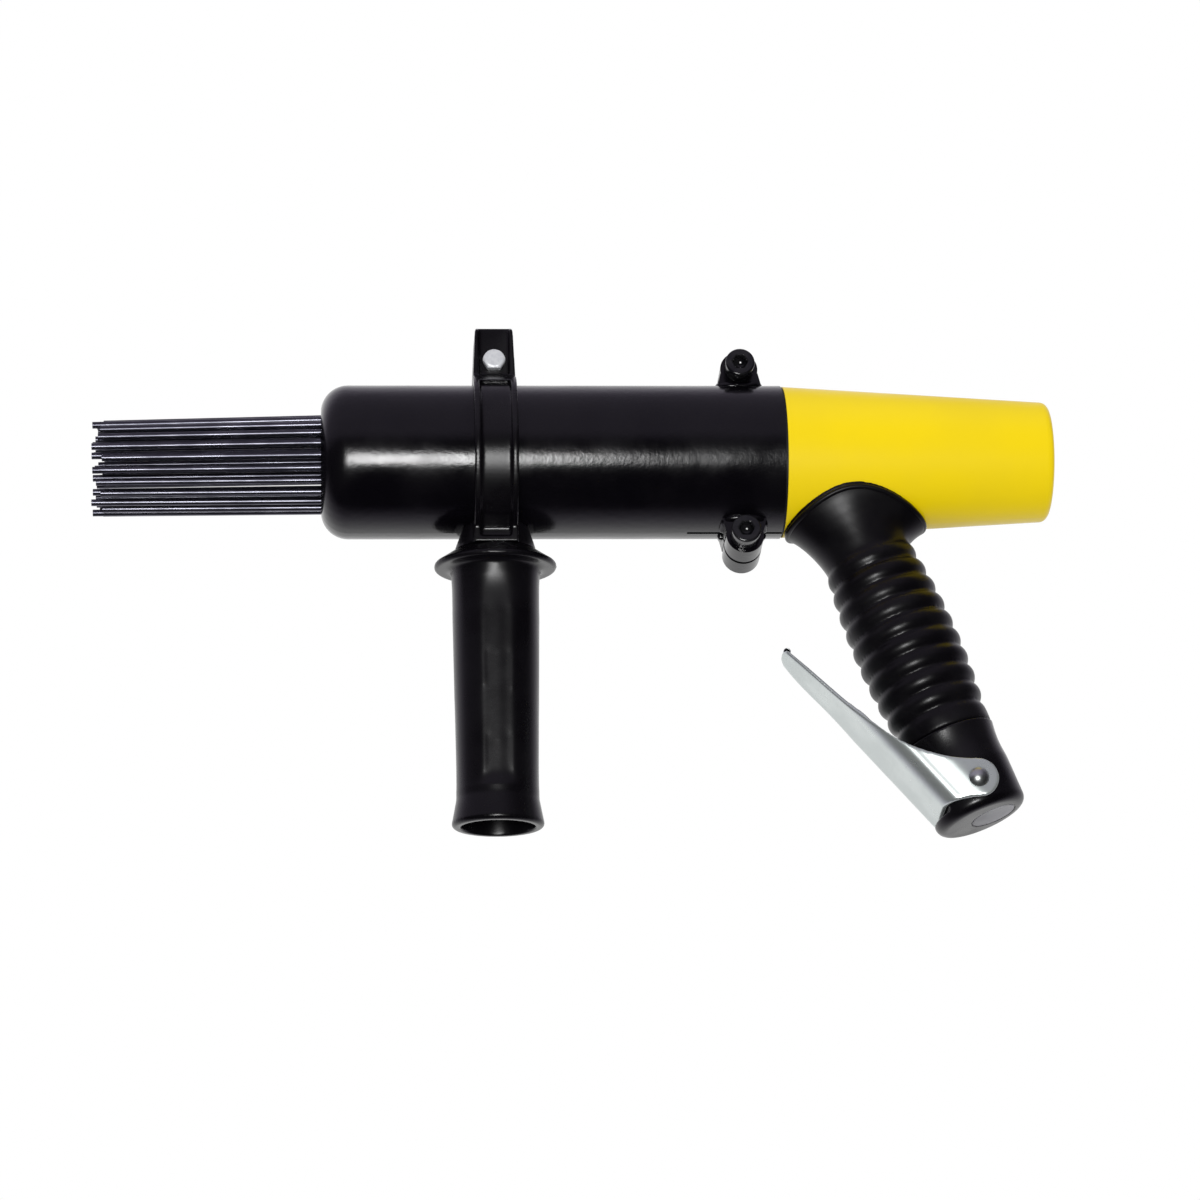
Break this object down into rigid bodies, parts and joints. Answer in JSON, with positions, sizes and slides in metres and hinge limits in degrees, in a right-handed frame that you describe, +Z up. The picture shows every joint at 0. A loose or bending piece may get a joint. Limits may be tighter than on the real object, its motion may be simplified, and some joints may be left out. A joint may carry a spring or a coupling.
{
  "type": "needle scaler",
  "caption": "Pneumatic needle scaler with a black barrel, yellow motor housing, ribbed pistol grip, zinc throttle lever and swivelling side handle.",
  "frame": {"origin": "On the barrel axis, in the plane of the longest needle tips.", "axes": "+X runs back along the barrel from the needle tips to the rear of the motor housing, +Z is up, away from the grip, and +Y completes the right-handed frame."},
  "size_m": [0.4225, 0.0784, 0.2329],
  "materials": {
    "black_gloss": "thick gloss black enamel on the barrel",
    "yellow_gloss": "gloss yellow coat on the motor housing",
    "rubber": "satin black moulded rubber",
    "black_body": "satin black coat on a casting",
    "black_plastic": "black moulded plastic with a soft gloss",
    "black_screw": "blackened steel screw",
    "zinc": "bright zinc plated sheet and bolts",
    "needle_steel": "dark oiled spring steel",
    "machined_steel": "turned and ground steel",
    "bronze": "bearing bronze",
    "grey_plastic": "light grey plastic plug",
    "seal_rubber": "soft black seal rubber"
  },
  "bodies": {
    "tool": {"barrel_tube": "black_gloss", "barrel_clamp_screws": "black_screw", "motor_housing": "yellow_gloss", "joint_seal": "seal_rubber", "cylinder": "machined_steel", "anvil_bush": "bronze", "anvil_buffer": "seal_rubber", "valve_chest": "machined_steel", "valve_cover": "machined_steel", "rear_buffer": "seal_rubber", "grip_core": "machined_steel", "grip_boot": "rubber", "throttle_body": "black_body", "valve_bush": "bronze", "bush_seal": "seal_rubber", "inlet_strainer": "bronze", "lever_pins": "zinc", "return_spring": "machined_steel", "valve_spring": "machined_steel"},
    "needle_pack": {"needles": "needle_steel", "needle_holder": "machined_steel"},
    "anvil": {"anvil": "machined_steel"},
    "piston": {"piston": "machined_steel"},
    "valve_plate": {"valve_plate": "machined_steel"},
    "lever": {"throttle_lever": "zinc"},
    "valve_stem": {"valve_stem": "machined_steel", "stem_seal": "seal_rubber"},
    "side_handle": {"handle_clamp": "black_plastic", "clamp_bolt": "zinc", "clamp_nut": "zinc", "side_grip": "black_plastic", "handle_bolt": "zinc", "handle_washer": "zinc"},
    "inlet_cap": {"inlet_cap": "grey_plastic"}
  },
  "joints": [
    {"name": "lever_squeeze", "type": "hinge", "parent": "tool", "child": "lever", "pos_m": [0.3805, 0, -0.1566], "axis": [0, 1, 0], "range_deg": [0, 9.2], "stiffness_Nm_per_rad": 2, "springref_deg": -11.46},
    {"name": "valve_stem_slide", "type": "slide", "parent": "tool", "child": "valve_stem", "axis": [0.9397, 0, 0.342], "range_m": [0, 0.0034], "deforming": ["valve_spring"]},
    {"name": "needle_pack_slide", "type": "slide", "parent": "tool", "child": "needle_pack", "axis": [-1, 0, 0], "range_m": [0, 0.01], "stiffness_N_per_m": 3000, "springref_m": -0.008, "deforming": ["return_spring"]},
    {"name": "anvil_slide", "type": "slide", "parent": "tool", "child": "anvil", "axis": [-1, 0, 0], "range_m": [0, 0.01]},
    {"name": "piston_stroke", "type": "slide", "parent": "tool", "child": "piston", "axis": [1, 0, 0], "range_m": [0, 0.032]},
    {"name": "valve_plate_lift", "type": "slide", "parent": "tool", "child": "valve_plate", "axis": [1, 0, 0], "range_m": [0, 0.0008]},
    {"name": "side_handle_swivel", "type": "hinge", "parent": "tool", "child": "side_handle", "pos_m": [0.1765, 0, 0], "axis": [1, 0, 0], "continuous": true},
    {"name": "inlet_cap_pull", "type": "slide", "parent": "tool", "child": "inlet_cap", "axis": [0.342, 0, -0.9397], "range_m": [0, 0.04]}
  ],
  "couplings": [
    {"joint": "valve_stem_slide", "follows": "lever_squeeze", "m_per_rad": 0.021},
    {"joint": "anvil_slide", "follows": "needle_pack_slide", "ratio": 1}
  ]
}
